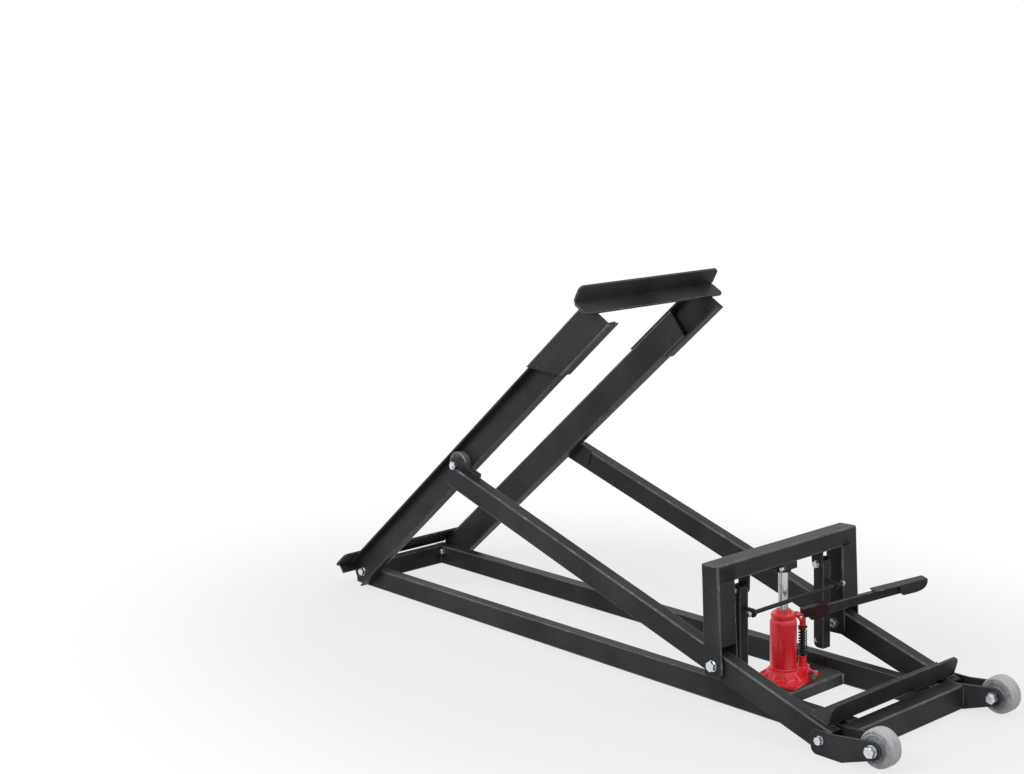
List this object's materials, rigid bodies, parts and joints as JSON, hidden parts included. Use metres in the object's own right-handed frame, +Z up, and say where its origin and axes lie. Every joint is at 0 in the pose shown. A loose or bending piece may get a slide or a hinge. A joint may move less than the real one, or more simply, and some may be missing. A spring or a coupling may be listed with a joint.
{
  "type": "lawn mower lift",
  "caption": "Foot-pumped lift on a long low frame with small wheels: a bottle jack under a portal raises pivoting arms, and they tilt up a platform of channel rails.",
  "frame": {"origin": "on the floor under the middle of the cross tube at the wheel end, bottom face of that tube", "axes": "+X towards the wheel end along the base rails, +Z up, +Y to the side that the foot lever points to"},
  "size_m": [1.7467, 0.524, 0.8441],
  "materials": {
    "black_paint": "satin",
    "red_enamel": "gloss",
    "chrome": "polished",
    "zinc": "satin",
    "dark_steel": "satin",
    "wheel_grey": "matte"
  },
  "bodies": {
    "base": {"wheel_cross_tube": "black_paint", "hinge_cross_tube": "black_paint", "jack_seat": "black_paint", "base_rail_near": "black_paint", "base_rail_far": "black_paint", "fork_plate_inner_near": "black_paint", "fork_plate_inner_far": "black_paint", "fork_plate_outer_near": "black_paint", "fork_plate_outer_far": "black_paint", "axle_bolt_near": "zinc", "axle_bolt_far": "zinc", "arm_pivot_bolt_near": "zinc", "arm_pivot_bolt_far": "zinc", "platform_hinge_bolt_near": "zinc", "platform_hinge_bolt_far": "zinc", "jack_base": "red_enamel", "jack_cylinder": "red_enamel", "jack_collar": "red_enamel", "pump_barrel": "red_enamel", "fulcrum_pin": "zinc", "pump_spring": "dark_steel"},
    "wheel_near_body": {"wheel_near": "wheel_grey"},
    "wheel_far_body": {"wheel_far": "wheel_grey"},
    "arms": {"arm_near": "black_paint", "arm_far": "black_paint", "arm_lug_near": "black_paint", "arm_lug_far": "black_paint", "roller_bolt_near": "zinc", "roller_bolt_far": "zinc", "cross_angle": "black_paint"},
    "portal": {"portal_leg_near": "black_paint", "portal_leg_far": "black_paint", "portal_crossbar": "black_paint", "ram_socket": "black_paint", "prop_ear_near": "black_paint", "prop_ear_far": "black_paint", "portal_bolt_near": "zinc", "portal_bolt_far": "zinc", "prop_bolt_near": "zinc", "prop_bolt_far": "zinc"},
    "props": {"prop_near": "black_paint", "prop_far": "black_paint", "release_rod": "black_paint", "foot_pin": "zinc"},
    "ram": {"jack_ram": "chrome"},
    "foot_lever": {"pump_socket": "red_enamel", "pump_lever": "black_paint", "foot_pad": "black_paint"},
    "plunger": {"pump_plunger": "dark_steel"},
    "valve": {"release_valve": "zinc"},
    "platform": {"platform_rail_near": "black_paint", "platform_rail_far": "black_paint", "bottom_stop": "black_paint"},
    "platform_end": {"extension_near": "black_paint", "extension_far": "black_paint", "top_stop": "black_paint"},
    "roller_carriage": {"roller_bush_near": "zinc", "roller_bush_far": "zinc"},
    "roller_near_body": {"roller_near": "wheel_grey"},
    "roller_far_body": {"roller_far": "wheel_grey"}
  },
  "joints": [
    {"name": "wheel_near_spin", "type": "hinge", "parent": "base", "child": "wheel_near_body", "pos_m": [0.09, -0.19315, 0.043], "axis": [0, 1, 0], "continuous": true},
    {"name": "wheel_far_spin", "type": "hinge", "parent": "base", "child": "wheel_far_body", "pos_m": [0.09, 0.19315, 0.043], "axis": [0, 1, 0], "continuous": true},
    {"name": "arms_lift", "type": "hinge", "parent": "base", "child": "arms", "pos_m": [-0.029, 0, 0.031], "axis": [0, 1, 0], "range_deg": [-16.4, 1]},
    {"name": "platform_tilt", "type": "hinge", "parent": "base", "child": "platform", "pos_m": [-1.5793, 0, 0.0375], "axis": [0, 1, 0], "range_deg": [-2.2, 36]},
    {"name": "portal_swing", "type": "hinge", "parent": "arms", "child": "portal", "pos_m": [-0.29877, 0, 0.10979], "axis": [0, 1, 0], "range_deg": [-1.3, 20.4]},
    {"name": "prop_swing", "type": "hinge", "parent": "portal", "child": "props", "pos_m": [-0.30488, 0, 0.24807], "axis": [0, 1, 0], "range_deg": [-73.5, 4.6]},
    {"name": "ram_slide", "type": "slide", "parent": "base", "child": "ram", "axis": [0, 0, 1], "range_m": [-0.0795, 0.005]},
    {"name": "foot_lever_stroke", "type": "hinge", "parent": "base", "child": "foot_lever", "pos_m": [-0.28756, 0.03229, 0.1573], "axis": [-0.891, 0.454, 0], "range_deg": [0, 18], "stiffness_Nm_per_rad": 6, "springref_deg": -20.05},
    {"name": "plunger_slide", "type": "slide", "parent": "base", "child": "plunger", "axis": [0, 0, 1], "range_m": [-0.003, 0], "deforming": ["pump_spring"]},
    {"name": "valve_turn", "type": "hinge", "parent": "base", "child": "valve", "pos_m": [-0.28166, 0.04388, 0.0403], "axis": [0.891, -0.454, 0], "range_deg": [0, 180]},
    {"name": "platform_end_slide", "type": "slide", "parent": "platform", "child": "platform_end", "axis": [0.7793, 0, 0.6266], "range_m": [-0.08, 0]},
    {"name": "roller_travel", "type": "slide", "parent": "platform", "child": "roller_carriage", "axis": [0.7793, 0, 0.6266], "range_m": [-0.1772, 0.011]},
    {"name": "roller_near_spin", "type": "hinge", "parent": "roller_carriage", "child": "roller_near_body", "pos_m": [-1.1458, -0.161, 0.38605], "axis": [0, 1, 0], "continuous": true},
    {"name": "roller_far_spin", "type": "hinge", "parent": "roller_carriage", "child": "roller_far_body", "pos_m": [-1.1458, 0.161, 0.38605], "axis": [0, 1, 0], "continuous": true}
  ],
  "couplings": [
    {"joint": "platform_tilt", "follows": "arms_lift", "ratio": -2.19},
    {"joint": "portal_swing", "follows": "arms_lift", "ratio": -1.237},
    {"joint": "prop_swing", "follows": "arms_lift", "ratio": 4.47},
    {"joint": "ram_slide", "follows": "arms_lift", "m_per_rad": 0.277},
    {"joint": "roller_travel", "follows": "arms_lift", "m_per_rad": 0.6177},
    {"joint": "plunger_slide", "follows": "foot_lever_stroke", "m_per_rad": -0.0095}
  ]
}
